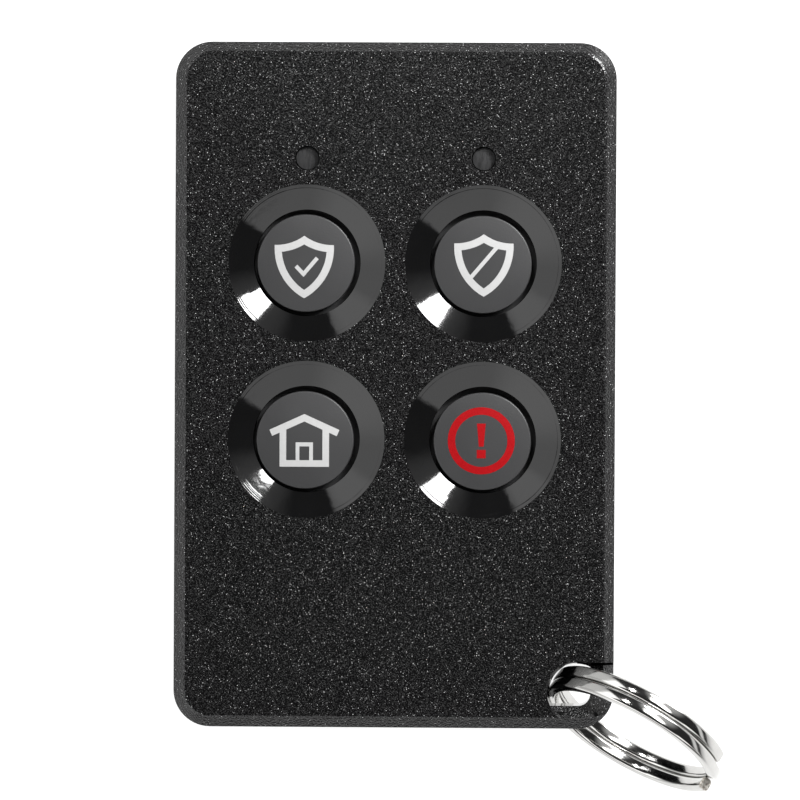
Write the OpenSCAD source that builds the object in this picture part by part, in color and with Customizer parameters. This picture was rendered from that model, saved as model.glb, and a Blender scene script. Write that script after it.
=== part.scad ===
// Alarm key fob: a flat two-part case with four round keys in dished wells, two status
// lights, a coin cell inside and a split ring through a lug at one corner. Millimetres.
// Origin: centre of the flat back face. +Z out of the front face, +Y towards the lights.

/* [Case] */
// Width of the case
body_w = 36; // [35:0.5:42]
// Length of the case
body_l = 56; // [55:0.5:66]
// Thickness of the case, back face to front face
body_t = 11; // [10.8:0.1:13]
// Radius of the case corners in plan
corner_r = 3; // [2.8:0.1:3.4]
// Chamfer round the front face
front_chamfer = 0.85; // [0.5:0.05:1]
// Chamfer round the back face
rear_chamfer = 1; // [0.4:0.1:1.2]
// Thickness of the side walls
side_wall = 1.4; // [1.2:0.1:1.6]
// Thickness of the front face
face_wall = 1.4; // [1.2:0.1:1.6]
// Thickness of the back wall
back_wall = 1.2; // [0.9:0.1:1.4]
// Height of the seam between the covers above the back face
seam_z = 6.5; // [6.3:0.1:6.8]
// Depth and height of the shadow groove along the seam
seam_groove = 0.25; // [0.1:0.05:0.4]
// Height of the tongue that locates the rear cover in the front cover
tongue_h = 0.8; // [0.5:0.1:1]
// Depth of the bare label recess in the back
label_depth = 0.25; // [0.1:0.05:0.4]
// Width of the label recess
label_w = 22; // [16:1:24]
// Length of the label recess
label_l = 16; // [10:1:18]
// Height of the label recess above the centre of the case
label_y = 13; // [12:0.5:14]

/* [Keys] */
// Pitch of the keys, across and along
key_pitch = 14.4; // [13.8:0.1:15]
// Height of the centre of the key grid above the centre of the case
key_grid_y = 2.76; // [1:0.1:4]
// Diameter of a key cap
key_d = 8; // [7.4:0.1:8.2]
// Gap between a key cap and its well
key_gap = 0.36; // [0.2:0.02:0.45]
// Diameter of a dish at the front face
dish_d = 12.84; // [11.6:0.1:13.2]
// Depth of a dish
dish_depth = 0.9; // [0.5:0.05:1.1]
// Depth of a key cap's top below the front face
key_drop = 0.5; // [0.2:0.05:0.6]
// Radius of the rounded rim of a key cap
key_rim = 0.15; // [0.1:0.05:0.3]
// Travel of a key
key_travel = 0.4; // [0.2:0.05:0.5]

/* [Lights] */
// Diameter of a light hole
light_d = 2; // [1.6:0.1:2.4]
// Distance of the lights above the upper keys
light_up = 8.54; // [8.3:0.02:9.5]
// Depth of a light pipe's end below the front face
light_recess = 0.5; // [0.2:0.05:0.6]

/* [Lug and split ring] */
// Radius of the round pocket behind the lug, about the corner's own centre
pocket_r = 2.75; // [2.7:0.05:2.85]
// Radius of the pocket's narrower mouth in the front face
mouth_r = 2.42; // [2.4:0.02:2.5]
// Depth of the mouth
mouth_h = 1.9; // [1.6:0.1:2]
// Width of the lug bar beside the hole
lug_side = 1.9; // [1.6:0.1:2]
// Width of the lug bar below the hole
lug_end = 1.6; // [1.4:0.1:1.8]
// Depth of the sloping front of the lug at the pocket's far wall
lug_slope = 1.6; // [0.8:0.1:2]
// Side of the square corner cut from the rear cover under the lug
corner_cut = 6.8; // [6.6:0.1:7.4]
// Outside diameter of the split ring
ring_d = 15.9; // [15.2:0.1:17]
// Thickness of the ring wire across the ring
wire_r = 0.9; // [0.7:0.05:0.95]
// Thickness of the ring wire along the ring's axis
wire_a = 0.88; // [0.7:0.02:0.9]
// Gap between the two turns of the ring
turn_gap = 0.43; // [0.42:0.01:0.5]
// Gap between the ring wire and the wall of the pocket
wire_clear = 0.58; // [0.52:0.02:0.7]
// Direction in which the ring points, in plan
ring_yaw = -30; // [-36:0.5:-26]
// Lean of the ring from lying flat
ring_lean = 70.1; // [70:0.1:78]

/* [Inside] */
// Thickness of the circuit board
board_t = 0.8; // [0.6:0.1:1]
// Diameter of the coin cell
cell_d = 20; // [18:0.5:20]
// Thickness of the coin cell
cell_t = 3.2; // [2:0.1:3.2]
// Distance of the coin cell's centre below the centre of the case
cell_y = 10; // [8:0.5:11]
// Height of a switch body
switch_h = 1; // [0.8:0.1:1.1]
// Side of a switch body
switch_w = 4.6; // [4:0.1:5.2]
// Diameter of a case screw's head
screw_head_d = 3.4; // [3:0.1:3.6]
// Diameter of a case screw's shank
screw_d = 1.6; // [1.4:0.1:1.7]

/* [Hidden] */
$fn = 64;
eps = 0.01;
half = 0.5;
cut_past = 2;

face_in = body_t - face_wall;
corner_x = body_w / 2 - corner_r;
corner_y = body_l / 2 - corner_r;
inner_r = corner_r - side_wall;
tongue_wall = side_wall / 2;
fit = 0.1;
slip = 0.05;

key_x = key_pitch / 2;
key_top_y = key_grid_y + key_pitch / 2;
key_low_y = key_grid_y - key_pitch / 2;
arm_at = [-key_x, key_top_y];
disarm_at = [key_x, key_top_y];
home_at = [-key_x, key_low_y];
panic_at = [key_x, key_low_y];
KEYS = [arm_at, disarm_at, home_at, panic_at];
key_r = key_d / 2;
well_r = key_r + key_gap;
collar_h = 0.95;
collar_low = face_in - collar_h;
flange_w = 0.8;
flange_r = well_r + flange_w;
flange_t = 0.6;
flange_top = collar_low - slip;
flange_low = flange_top - flange_t;
stem_r = 1.6;
tab_w = 1.6;
tab_out = 1;
rib_t = 0.8;
rib_past = 0.2;
rib_drop = flange_t + rib_past;
key_top = body_t - key_drop;

clip_t = 0.2;
clip_w = 6;
cell_low = back_wall + slip + clip_t + slip;
cell_top = cell_low + cell_t;
spring_room = 0.6;
board_low = cell_top + spring_room;
board_top = board_low + board_t;
switch_top = board_top + switch_h;
cell_ring = 1;
plunger_r = 1.2;
plunger_out = 0.5;
plunger_top = switch_top + plunger_out;
plunger_low = board_top + key_travel + slip;

board_room = 0.3;
board_w = body_w - 2 * (side_wall + board_room);
board_l = body_l - 2 * (side_wall + board_room);
screw_in = 3.9;
screw_x = body_w / 2 - screw_in;
screw_y = body_l / 2 - screw_in;
SCREWS = [[-screw_x, screw_y], [screw_x, screw_y], [-screw_x, -screw_y]];
pillar_r = 2.7;
boss_r = 2.2;
head_r = screw_head_d / 2;
head_h = 1.2;
head_sink = 0.4;
head_seat = head_sink + head_h;
tip_room = 0.6;
screw_tip = face_in - tip_room;
drive_r = 0.75;
drive_depth = 0.6;
post_r = 1;
post_in = 2.4;
post_x = body_w / 2 - side_wall - post_in;
post_high = 6;
post_low = -12;
POSTS = [[-post_x, post_high], [post_x, post_high], [-post_x, post_low], [post_x, post_low]];

light_r = light_d / 2;
light_y = key_top_y + light_up;
pipe_r = light_r - slip;
pipe_flange_w = 0.6;
pipe_flange_r = light_r + pipe_flange_w;
pipe_flange_t = 0.8;
led_w = 2;
led_l = 1.25;
led_h = 0.8;

lug_at = [corner_x, -corner_y];
hole_right = body_w / 2 - lug_side;
hole_low = -body_l / 2 + lug_end;
hole_round = 1;
lug_over = 1;
lug_block = corner_cut + lug_over;
lug_room = 0.9;

turn_pitch = wire_a + turn_gap;
wire_edge = 0.4;
ring_r = (ring_d - wire_r) / 2;
ring_reach = ring_d / 2 - (pocket_r - wire_clear);
ring_aside = -0.3;
table_clear = 0.05;
ring_low = ring_d / 2 * sin(ring_lean) + (turn_pitch + wire_edge * wire_a) / 2 * cos(ring_lean);
ring_z = ring_low + table_clear;
coil_from = 26;
jog_from = 347;
jog_to = 383;
coil_to = 707;
coil_steps = 76;
far_turn = 180;

// A block with rounded corners in plan, standing on z = 0
module plan_block(w, l, r, h) {
    translate([-w / 2 + r, -l / 2, 0])
        cube([w - 2 * r, l, h]);
    translate([-w / 2, -l / 2 + r, 0])
        cube([w, l - 2 * r, h]);
    for (x = [-1, 1], y = [-1, 1])
        translate([x * (w / 2 - r), y * (l / 2 - r), 0])
            cylinder(r = r, h = h);
}

// A chamfer that draws the same plan in by c over a height c
module plan_chamfer(w, l, r, c) {
    rotate([90, 0, 0])
        translate([0, 0, -(l / 2 - r)])
            linear_extrude(height = l - 2 * r)
                polygon([[-w / 2, 0], [w / 2, 0], [w / 2 - c, c], [-w / 2 + c, c]]);
    rotate([90, 0, 90])
        translate([0, 0, -(w / 2 - r)])
            linear_extrude(height = w - 2 * r)
                polygon([[-l / 2, 0], [l / 2, 0], [l / 2 - c, c], [-l / 2 + c, c]]);
    for (x = [-1, 1], y = [-1, 1])
        translate([x * (w / 2 - r), y * (l / 2 - r), 0])
            cylinder(r1 = r, r2 = r - c, h = c);
}

// The square at the lug corner, of a given size, from z = low up to z = high
module lug_square(size, low, high) {
    translate([body_w / 2 - size, -body_l / 2 - cut_past, low])
        cube([size + cut_past, size + cut_past, high - low]);
}

// The way through the lug: the round pocket and its mouth, stopped at the two bars of the lug
module lug_hole() {
    low = seam_z - cut_past;
    h = body_t - seam_z + 2 * cut_past;
    intersection() {
        translate([lug_at[0], lug_at[1], low]) {
            cylinder(r = mouth_r, h = h);
            cylinder(r = pocket_r, h = body_t - mouth_h - low);
        }
        union() {
            translate([hole_right - cut_past * pocket_r, hole_low + hole_round, low])
                cube([cut_past * pocket_r, cut_past * pocket_r, h]);
            translate([hole_right - cut_past * pocket_r, hole_low, low])
                cube([cut_past * pocket_r - hole_round, cut_past * pocket_r, h]);
            translate([hole_right - hole_round, hole_low + hole_round, low])
                cylinder(r = hole_round, h = h);
        }
    }
}

// The scoop over the lug: the mouth run out to the side, above the lug's sloping front
module lug_scoop() {
    wall_y = lug_at[1] + mouth_r;
    foot_y = -body_l / 2 + front_chamfer;
    intersection() {
        union() {
            translate([lug_at[0], lug_at[1], seam_z])
                cylinder(r = mouth_r, h = body_t);
            translate([lug_at[0], lug_at[1] - mouth_r, seam_z])
                cube([corner_r + cut_past, 2 * mouth_r, body_t]);
        }
        rotate([90, 0, 90])
            linear_extrude(height = body_w)
                polygon([[foot_y, body_t], [foot_y, body_t + cut_past],
                         [wall_y + cut_past, body_t + cut_past],
                         [wall_y + cut_past, body_t - lug_slope], [wall_y, body_t - lug_slope]]);
    }
}

// Shell with the wells, collars, bosses and posts, solid at the lug
module front_cover() {
    color([0.045, 0.045, 0.05])
    difference() {
        union() {
            difference() {
                union() {
                    translate([0, 0, seam_z])
                        plan_block(body_w, body_l, corner_r, body_t - seam_z - front_chamfer);
                    translate([0, 0, body_t - front_chamfer])
                        plan_chamfer(body_w, body_l, corner_r, front_chamfer);
                }
                difference() {
                    translate([0, 0, seam_z - cut_past])
                        plan_block(body_w - 2 * side_wall, body_l - 2 * side_wall, inner_r,
                                   face_in - seam_z + cut_past);
                    lug_square(lug_block, seam_z - cut_past * 2, body_t);
                }
                difference() {
                    translate([0, 0, seam_z - cut_past])
                        plan_block(body_w - 2 * tongue_wall + 2 * fit,
                                   body_l - 2 * tongue_wall + 2 * fit,
                                   corner_r - tongue_wall + fit, cut_past + tongue_h + fit);
                    lug_square(lug_block, seam_z - cut_past * 2, body_t);
                }
            }
            for (k = KEYS) {
                translate([k[0], k[1], collar_low])
                    cylinder(r = dish_d / 2, h = face_in - collar_low + eps);
                for (s = [-1, 1])
                    translate([k[0] + s * (tab_w / 2 + fit * 2 + rib_t / 2) - rib_t / 2,
                               k[1] - flange_r - tab_out, collar_low - rib_drop])
                        cube([rib_t, tab_out - fit, rib_drop + eps]);
            }
            for (s = SCREWS)
                translate([s[0], s[1], seam_z])
                    cylinder(r = boss_r, h = face_in - seam_z + eps);
            for (p = POSTS)
                translate([p[0], p[1], board_top])
                    cylinder(r = post_r, h = face_in - board_top + eps);
        }
        for (k = KEYS) {
            translate([k[0], k[1], body_t - dish_depth])
                cylinder(r1 = well_r, r2 = dish_d / 2, h = dish_depth);
            translate([k[0], k[1], seam_z])
                cylinder(r = well_r, h = body_t - seam_z);
        }
        for (s = [-1, 1])
            translate([s * key_x, light_y, seam_z])
                cylinder(r = light_r, h = body_t);
        for (s = SCREWS)
            translate([s[0], s[1], seam_z - cut_past])
                cylinder(r = screw_d / 2 + slip, h = screw_tip + fit - seam_z + cut_past);
        lug_hole();
        lug_scoop();
    }
}

// Tray with the cell ring, board posts, screw pillars and the cut corner under the lug
module rear_cover() {
    groove_z = seam_z - seam_groove;
    color([0.05, 0.05, 0.055])
    difference() {
        union() {
            difference() {
                union() {
                    translate([0, 0, rear_chamfer])
                        mirror([0, 0, 1])
                            plan_chamfer(body_w, body_l, corner_r, rear_chamfer);
                    translate([0, 0, rear_chamfer])
                        plan_block(body_w, body_l, corner_r, groove_z - rear_chamfer);
                    translate([0, 0, groove_z])
                        plan_block(body_w - 2 * seam_groove, body_l - 2 * seam_groove,
                                   corner_r - seam_groove, seam_groove);
                    difference() {
                        translate([0, 0, groove_z])
                            plan_block(body_w - 2 * tongue_wall, body_l - 2 * tongue_wall,
                                       corner_r - tongue_wall, seam_groove + tongue_h);
                        lug_square(lug_block + fit, seam_z, body_t);
                    }
                }
                difference() {
                    translate([0, 0, back_wall])
                        plan_block(body_w - 2 * side_wall, body_l - 2 * side_wall, inner_r, body_t);
                    lug_square(corner_cut + side_wall, 0, seam_z);
                }
            }
            for (s = SCREWS)
                translate([s[0], s[1], back_wall - eps])
                    cylinder(r = pillar_r, h = seam_z - back_wall + eps);
            for (p = POSTS)
                translate([p[0], p[1], back_wall - eps])
                    cylinder(r = post_r, h = board_low - back_wall + eps);
            translate([0, -cell_y, back_wall - eps])
                difference() {
                    cylinder(r = cell_d / 2 + cell_ring, h = cell_t / 2);
                    translate([0, 0, -cut_past])
                        cylinder(r = cell_d / 2 + fit * 2, h = cell_t + cut_past);
                    translate([-cell_d, -clip_w / 2 - side_wall, -cut_past])
                        cube([2 * cell_d, clip_w + 2 * side_wall, cell_t + cut_past]);
                }
        }
        for (s = SCREWS) {
            translate([s[0], s[1], -cut_past])
                cylinder(r = head_r + fit, h = head_seat + cut_past);
            translate([s[0], s[1], 0])
                cylinder(r = screw_d / 2 + fit, h = body_t);
        }
        lug_square(corner_cut, -cut_past, body_t);
        translate([-label_w / 2, label_y - label_l / 2, -cut_past])
            cube([label_w, label_l, cut_past + label_depth]);
    }
}

// Round cap with a rounded rim, a keyed flange under the well and a stem onto the switch
module key_cap(at) {
    translate([at[0], at[1], 0]) {
        translate([0, 0, flange_low])
            rotate_extrude() {
                square([flange_r, flange_t]);
                translate([0, flange_t - eps])
                    square([key_r, key_top - key_rim - flange_top + eps]);
                translate([0, key_top - flange_low - key_rim - eps])
                    square([key_r - key_rim, key_rim + eps]);
                translate([key_r - key_rim, key_top - flange_low - key_rim])
                    circle(r = key_rim);
            }
        translate([0, 0, plunger_top])
            cylinder(r = stem_r, h = flange_low - plunger_top + eps);
        translate([-tab_w / 2, -flange_r - tab_out + fit, flange_low])
            cube([tab_w, tab_out + flange_r / 2, flange_t]);
    }
}

module arm_button() {
    color([0.09, 0.09, 0.095])
        key_cap(arm_at);
}

module disarm_button() {
    color([0.09, 0.09, 0.095])
        key_cap(disarm_at);
}

module home_button() {
    color([0.09, 0.09, 0.095])
        key_cap(home_at);
}

module panic_button() {
    color([0.09, 0.09, 0.095])
        key_cap(panic_at);
}

// Pin of a switch, free to sink into the switch body
module plunger(at) {
    translate([at[0], at[1], plunger_low])
        cylinder(r = plunger_r, h = plunger_top - plunger_low);
}

module arm_plunger() {
    color([0.75, 0.73, 0.68])
        plunger(arm_at);
}

module disarm_plunger() {
    color([0.75, 0.73, 0.68])
        plunger(disarm_at);
}

module home_plunger() {
    color([0.75, 0.73, 0.68])
        plunger(home_at);
}

module panic_plunger() {
    color([0.75, 0.73, 0.68])
        plunger(panic_at);
}

// Square switch body on the board, bored for its plunger
module switch_body(at) {
    translate([at[0], at[1], board_top])
        difference() {
            translate([-switch_w / 2, -switch_w / 2, 0])
                cube([switch_w, switch_w, switch_h]);
            translate([0, 0, -cut_past])
                cylinder(r = plunger_r + slip, h = switch_h + 2 * cut_past);
        }
}

module arm_switch() {
    color([0.7, 0.7, 0.72])
        switch_body(arm_at);
}

module disarm_switch() {
    color([0.7, 0.7, 0.72])
        switch_body(disarm_at);
}

module home_switch() {
    color([0.7, 0.7, 0.72])
        switch_body(home_at);
}

module panic_switch() {
    color([0.7, 0.7, 0.72])
        switch_body(panic_at);
}

// Clear rod from a light chip up into its hole, with a collar under the front face
module light_pipe(x) {
    low = board_top + led_h + fit;
    translate([x, light_y, low])
        cylinder(r = pipe_r, h = body_t - light_recess - low);
    translate([x, light_y, face_in - pipe_flange_t])
        cylinder(r = pipe_flange_r, h = pipe_flange_t);
}

module left_light_pipe() {
    color([0.35, 0.36, 0.38])
        light_pipe(-key_x);
}

module right_light_pipe() {
    color([0.35, 0.36, 0.38])
        light_pipe(key_x);
}

// Light chip on the board
module led(x) {
    translate([x - led_w / 2, light_y - led_l / 2, board_top])
        cube([led_w, led_l, led_h]);
}

module left_led() {
    color([0.85, 0.84, 0.78])
        led(-key_x);
}

module right_led() {
    color([0.85, 0.84, 0.78])
        led(key_x);
}

// Board cut round the screw pillars and the lug corner
module circuit_board() {
    color([0.05, 0.28, 0.14])
    translate([0, 0, board_low])
        difference() {
            translate([-board_w / 2, -board_l / 2, 0])
                cube([board_w, board_l, board_t]);
            for (s = SCREWS)
                translate([s[0], s[1], -cut_past])
                    cylinder(r = pillar_r + board_room, h = board_t + 2 * cut_past);
            for (s = SCREWS)
                translate([s[0] + (s[0] > 0 ? 0 : -cut_past * pillar_r),
                           s[1] + (s[1] > 0 ? 0 : -cut_past * pillar_r), -cut_past])
                    cube([cut_past * pillar_r, cut_past * pillar_r, board_t + 2 * cut_past]);
            translate([0, 0, -board_low])
                lug_square(lug_block + lug_room, -cut_past, body_t);
        }
}

chip_w = 5;
chip_h = 0.9;

// Radio and control chip between the lights
module radio_chip() {
    color([0.03, 0.03, 0.035])
    translate([-chip_w / 2, light_y - chip_w / 2, board_top])
        cube([chip_w, chip_w, chip_h]);
}

crystal_w = 3.2;
crystal_l = 2.4;
crystal_h = 0.8;
crystal_gap = 1;

// Metal can of the crystal above the chip
module crystal() {
    color([0.72, 0.71, 0.66])
    translate([-crystal_w / 2, light_y + chip_w / 2 + crystal_gap, board_top])
        cube([crystal_w, crystal_l, crystal_h]);
}

small_w = 0.5;
small_l = 1;
small_pitch = 1.5;
small_gap = 1.2;
small_rows = 4;

// Two rows of resistors and capacitors beside the chip
module small_components() {
    color([0.45, 0.33, 0.22])
    for (s = [-1, 1], i = [0:small_rows - 1])
        translate([s * (chip_w / 2 + small_gap) - small_l / 2,
                   light_y + (i - (small_rows - 1) / 2) * small_pitch - small_w / 2, board_top])
            cube([small_l, small_w, small_w]);
}

loop_side_in = 5.3;
loop_end_in = 3.3;
loop_lug_gap = 1.3;
loop_key_gap = 5;
loop_w = 1;
loop_t = 0.3;
loop_left = board_w / 2 - loop_side_in;
loop_right = body_w / 2 - lug_block - lug_room - loop_lug_gap;
loop_low = -board_l / 2 + loop_end_in;
loop_high = key_low_y - switch_w / 2 - loop_key_gap;

// Flat metal loop round the lower end of the board
module loop_antenna() {
    color([0.8, 0.6, 0.3])
    translate([0, 0, board_top]) {
        translate([-loop_left, loop_low, 0])
            cube([loop_w, loop_high - loop_low, loop_t]);
        translate([-loop_left, loop_low, 0])
            cube([loop_left + loop_right, loop_w, loop_t]);
        translate([loop_right - loop_w, loop_low, 0])
            cube([loop_w, loop_high - loop_low, loop_t]);
    }
}

cap_step = 0.3;
cap_in = 1.1;

// Coin cell, its can to the back and its cap to the board
module coin_cell() {
    color([0.76, 0.76, 0.75])
    translate([0, -cell_y, cell_low]) {
        cylinder(r = cell_d / 2, h = cell_t - cap_step);
        cylinder(r = cell_d / 2 - cap_in, h = cell_t);
    }
}

clip_room = 0.3;

// Strap under the cell with a leg up to the board on each side
module battery_clip() {
    reach = cell_d / 2 + clip_room;
    low = back_wall + slip;
    color([0.8, 0.78, 0.72])
    translate([0, -cell_y - clip_w / 2, low]) {
        translate([-reach - clip_t, 0, 0])
            cube([2 * (reach + clip_t), clip_w, clip_t]);
        for (s = [-reach - clip_t, reach])
            translate([s, 0, 0])
                cube([clip_t, clip_w, board_low - low]);
    }
}

spring_w = 4;
spring_l = 9;
spring_t = 0.2;
spring_foot = 2.5;

// Bent leaf from the board down onto the cap of the cell
module battery_spring() {
    foot = board_low - spring_t;
    tip = cell_top + slip;
    color([0.8, 0.78, 0.72])
    translate([0, -cell_y + spring_w / 2, 0])
        rotate([90, 0, 0])
            linear_extrude(height = spring_w)
                polygon([[-spring_l / 2, foot], [-spring_l / 2, board_low],
                         [-spring_l / 2 + spring_foot, board_low], [spring_l / 2, tip + spring_t],
                         [spring_l / 2, tip], [-spring_l / 2 + spring_foot, foot]]);
}

// Three screws from the back into the bosses of the front cover
module case_screws() {
    color([0.5, 0.5, 0.52])
    for (s = SCREWS)
        translate([s[0], s[1], 0])
            difference() {
                union() {
                    translate([0, 0, head_sink])
                        cylinder(r = head_r, h = head_h);
                    translate([0, 0, head_sink])
                        cylinder(r = screw_d / 2, h = screw_tip - head_sink);
                }
                translate([0, 0, head_sink - cut_past])
                    for (a = [0, 90])
                        rotate([0, 0, a])
                            translate([-drive_r, -drive_r / 3, 0])
                                cube([2 * drive_r, drive_r * 2 / 3, cut_past + drive_depth]);
            }
}

function ease(t) = t * t * (3 - 2 * t);
function coil_angle(i) = coil_from + (coil_to - coil_from) * i / coil_steps;
function jog(a) = ease(max(0, min(1, (a - jog_from) / (jog_to - jog_from))));
function coil_axial(a) = turn_pitch * (jog(a) - half);
function coil_point(i) = let (a = coil_angle(i))
    [ring_r * cos(a), ring_r * sin(a), coil_axial(a)];
WIRE = [[1, -wire_edge], [1, wire_edge], [wire_edge, 1], [-wire_edge, 1],
        [-1, wire_edge], [-1, -wire_edge], [-wire_edge, -1], [wire_edge, -1]];
sides = len(WIRE);
function coil_ring(i) = let (a = coil_angle(i), r = ring_r, z = coil_axial(a))
    [for (p = WIRE) [(r + p[0] * wire_r / 2) * cos(a), (r + p[0] * wire_r / 2) * sin(a),
                     z + p[1] * wire_a / 2]];
coil_points = [for (i = [0:coil_steps]) each coil_ring(i)];
coil_faces = concat(
    [[for (j = [0:sides - 1]) j]],
    [for (i = [0:coil_steps - 1], j = [0:sides - 1])
        let (a = i * sides + j, b = i * sides + (j + 1) % sides)
            [a, a + sides, b]],
    [for (i = [0:coil_steps - 1], j = [0:sides - 1])
        let (a = i * sides + j, b = i * sides + (j + 1) % sides)
            [a + sides, b + sides, b]],
    [[for (j = [0:sides - 1]) coil_steps * sides + sides - 1 - j]]);
coil_gap = min([for (i = [0:coil_steps], j = [0:coil_steps])
    if (coil_angle(j) - coil_angle(i) > far_turn)
        norm(coil_point(i) - coil_point(j)) - wire_a]);
echo(str("split ring: least gap between its turns ", coil_gap, " mm"));

// One length of flat wire wound twice, stepping from turn to turn opposite the lug
module split_ring() {
    aside = [-sin(ring_yaw), cos(ring_yaw)] * ring_aside;
    color([0.8, 0.8, 0.8])
    translate([lug_at[0] + ring_reach * cos(ring_yaw) + aside[0],
               lug_at[1] + ring_reach * sin(ring_yaw) + aside[1], ring_z])
        rotate([0, 0, ring_yaw])
            rotate([ring_lean, 0, 0])
                polyhedron(points = coil_points, faces = coil_faces, convexity = 6);
}

front_cover();
rear_cover();
arm_button();
disarm_button();
home_button();
panic_button();
arm_plunger();
disarm_plunger();
home_plunger();
panic_plunger();
arm_switch();
disarm_switch();
home_switch();
panic_switch();
left_light_pipe();
right_light_pipe();
left_led();
right_led();
circuit_board();
radio_chip();
crystal();
small_components();
loop_antenna();
coin_cell();
battery_clip();
battery_spring();
case_screws();
split_ring();
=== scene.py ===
import math

import bpy
from mathutils import Matrix, Vector


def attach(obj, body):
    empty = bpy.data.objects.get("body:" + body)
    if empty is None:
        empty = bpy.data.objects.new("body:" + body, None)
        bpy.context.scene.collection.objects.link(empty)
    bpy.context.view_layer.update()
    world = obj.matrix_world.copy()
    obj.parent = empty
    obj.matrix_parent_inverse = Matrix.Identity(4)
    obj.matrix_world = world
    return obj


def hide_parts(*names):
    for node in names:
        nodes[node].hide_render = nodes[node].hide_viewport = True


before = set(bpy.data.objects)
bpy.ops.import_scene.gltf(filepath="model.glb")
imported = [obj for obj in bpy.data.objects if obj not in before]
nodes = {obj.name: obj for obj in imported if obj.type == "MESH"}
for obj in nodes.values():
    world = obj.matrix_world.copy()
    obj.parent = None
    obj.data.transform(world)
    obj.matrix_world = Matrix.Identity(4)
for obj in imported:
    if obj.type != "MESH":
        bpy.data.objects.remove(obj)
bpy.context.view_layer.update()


# Studio: a pale matt table that glows as painted light, white round the fob and dimmer further out,
# so the fob's shadow is washed out; a soft box to the upper right, a small spark lamp above and a plain
# room, bright to the left and below, darker round the soft box and above. None of it belongs to the fob.
class Value:
    """A socket of a node tree. Sums on it add Math nodes, and node() adds any other node."""

    def __init__(self, socket):
        self.socket = socket
        self.tree = socket.id_data

    def node(self, kind, settings=None, out=0, **sockets):
        made = self.tree.nodes.new("ShaderNode" + kind)
        for name, setting in (settings or {}).items():
            setattr(made, name, setting)
        for name, given in sockets.items():
            socket = made.inputs[int(name[1:]) if name[1:].isdigit() else name.replace("_", " ")]
            if isinstance(given, Value):
                self.tree.links.new(given.socket, socket)
            else:
                socket.default_value = given
        return Value(made.outputs[out])

    def sum(self, operation, first, second):
        return self.node("Math", {"operation": operation}, _0=first, _1=second)

    def __add__(self, other):
        return self.sum("ADD", self, other)

    def __radd__(self, other):
        return self.sum("ADD", other, self)

    def __sub__(self, other):
        return self.sum("SUBTRACT", self, other)

    def __rsub__(self, other):
        return self.sum("SUBTRACT", other, self)

    def __mul__(self, other):
        return self.sum("MULTIPLY", self, other)

    def __rmul__(self, other):
        return self.sum("MULTIPLY", other, self)

    def __truediv__(self, other):
        return self.sum("DIVIDE", self, other)

    def __rtruediv__(self, other):
        return self.sum("DIVIDE", other, self)

    def __pow__(self, other):
        return self.sum("POWER", self, other)

    def __rpow__(self, other):
        return self.sum("POWER", other, self)

    def step(self, low, high):
        return self.node("MapRange", {"interpolation_type": "SMOOTHSTEP"}, Value=self,
                         From_Min=low, From_Max=high)

    def tint(self, dark, light):
        return self.node("Mix", {"data_type": "RGBA"}, 2, _0=self, _6=(*dark, 1), _7=(*light, 1))


def start_material(name):
    """A new material with its shader, and the place on the piece in metres."""
    made = bpy.data.materials.new(name)
    made.use_nodes = True
    shader = made.node_tree.nodes["Principled BSDF"]
    place = Value(made.node_tree.nodes.new("ShaderNodeTexCoord").outputs["Object"])
    return made, shader, place


def feed(shader, **sockets):
    """Gives the shader's sockets their links or their plain values."""
    for name, given in sockets.items():
        socket = shader.inputs[name.replace("_", " ")]
        if isinstance(given, Value):
            given.tree.links.new(given.socket, socket)
        else:
            socket.default_value = given


table_drop, glow_near, glow_far = 0.00005, 0.045, 0.2
bpy.ops.object.select_all(action="DESELECT")
bpy.ops.mesh.primitive_plane_add(size=3, location=(0, 0, -table_drop))
table = bpy.context.object
table.name = "table"
table_painted_glow, shader, place = start_material("table_painted_glow")
cloud = place.node("TexNoise", Vector=place, Scale=9.0, Detail=3.0)
reach = place.node("VectorMath", {"operation": "LENGTH"}, 1, _0=place)
# Painted light: the table glows white out to glow_near from the fob and fades to a dimmer glow by glow_far,
# washing out the fob's cast shadow.
feed(shader, Base_Color=cloud.tint((0.28, 0.28, 0.28), (0.32, 0.32, 0.32)), Roughness=0.6 + cloud * 0.2,
     Emission_Color=reach.step(glow_near, glow_far).tint((1, 1, 1), (0.45, 0.45, 0.45)),
     Emission_Strength=0.9)
table.data.materials.append(table_painted_glow)

room = bpy.data.worlds.new("room")
bpy.context.scene.world = room
room.use_nodes = True
way = Value(room.node_tree.nodes.new("ShaderNodeTexCoord").outputs["Generated"])
split = way.node("SeparateXYZ", Vector=way).socket.node
across, along, up = (Value(output) for output in split.outputs)
lamp_x, lamp_y = 0.766, 0.643
strip_x, strip_y = 0.725, 0.688
halo_x, halo_y, halo_up = 0.542, 0.515, 0.664
diagonal, not_zero, dimmest = 0.707, 0.0001, 0.03
sideways = (across * across + along * along + not_zero) ** 0.5
to_lamp = (across * lamp_x + along * lamp_y) / sideways
away = 1 - to_lamp.step(0.21, 0.28)
near_table = 1 - up.step(0.35, 0.5)
behind = (0 - to_lamp).step(0.7, 1.0) * 0.6
left_back = ((along - across) * diagonal / sideways).step(0.94, 0.99) * 0.5
far_side = behind + left_back
front_gap = (0 - along / sideways).step(0.75, 0.95) * near_table
walls = away * (1 - up.step(0.7, 0.75)) * (1 - front_gap) * (1 - near_table * 0.65) * (1.6 + far_side)
panels = (1 - away) * up.step(0.1, 0.14) * (1 - up.step(0.22, 0.26)) * 0.9
strip_way = (across * strip_x + along * strip_y) / sideways
strip = strip_way.step(0.965, 0.985) * up.step(0.05, 0.1) * (1 - up.step(0.5, 0.58)) * 7.0
halo = (across * halo_x + along * halo_y + up * halo_up).step(0.88, 0.99) * 0.5
lip_band = strip_way.step(0.88, 0.94) * up.step(0.77, 0.8) * (1 - up.step(0.86, 0.89)) * 6.0
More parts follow.
